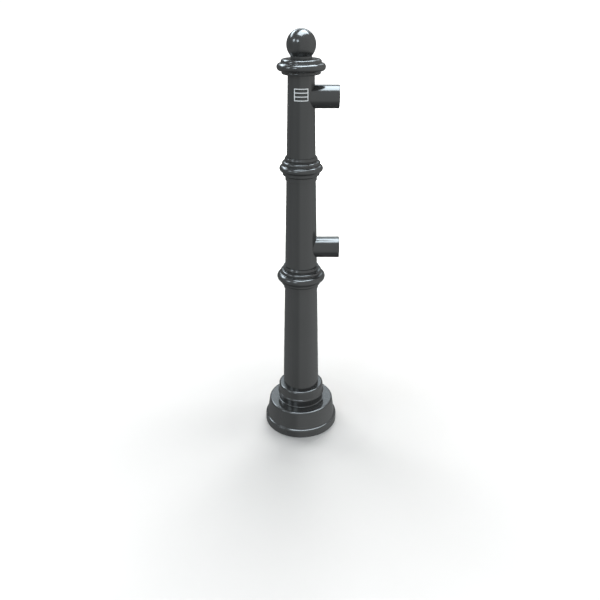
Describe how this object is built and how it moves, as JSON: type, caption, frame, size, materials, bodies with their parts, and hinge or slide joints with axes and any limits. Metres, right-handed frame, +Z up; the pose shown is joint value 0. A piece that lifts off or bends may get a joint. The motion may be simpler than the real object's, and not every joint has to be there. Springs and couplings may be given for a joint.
{
  "type": "guard rail end post",
  "caption": "Ornamental cast end post for a pedestrian guard rail, with a ball finial, moulded rings, a stepped bell base and tube sockets for horizontal rails on one side.",
  "frame": {"origin": "middle of the foot plate's underside, on the ground", "axes": "+Z up the post, +X along the rails, away from the post, -Y towards the badge"},
  "size_m": [0.201, 0.201, 1.045],
  "materials": {
    "casting_paint": "semi-gloss dark anthracite paint on smooth castings",
    "bare_steel": "galvanised structural steel, hidden inside the castings",
    "zinc_plate": "zinc plated fasteners",
    "badge_print": "plain satin white marking"
  },
  "bodies": {
    "post": {"base_plate": "bare_steel", "plate_gussets": "bare_steel", "core_tube": "bare_steel", "base_casting": "casting_paint", "lower_shaft": "casting_paint", "lower_ring": "casting_paint", "middle_shaft": "casting_paint", "upper_ring": "casting_paint", "upper_shaft": "casting_paint", "collar": "casting_paint", "top_plug": "bare_steel", "clamp_stud": "zinc_plate", "clamp_washer": "zinc_plate", "clamp_nut": "zinc_plate", "ball_finial": "casting_paint", "lower_socket_pad": "bare_steel", "upper_socket_pad": "bare_steel", "lower_rail_socket": "casting_paint", "upper_rail_socket": "casting_paint", "badge": "badge_print"},
    "lower_screw": {"lower_clamp_screw": "zinc_plate"},
    "upper_screw": {"upper_clamp_screw": "zinc_plate"}
  },
  "joints": [
    {"name": "lower_screw_travel", "type": "slide", "parent": "post", "child": "lower_screw", "axis": [0, -1, 0], "range_m": [0, 0.0035]},
    {"name": "upper_screw_travel", "type": "slide", "parent": "post", "child": "upper_screw", "axis": [0, -1, 0], "range_m": [0, 0.0035]}
  ]
}
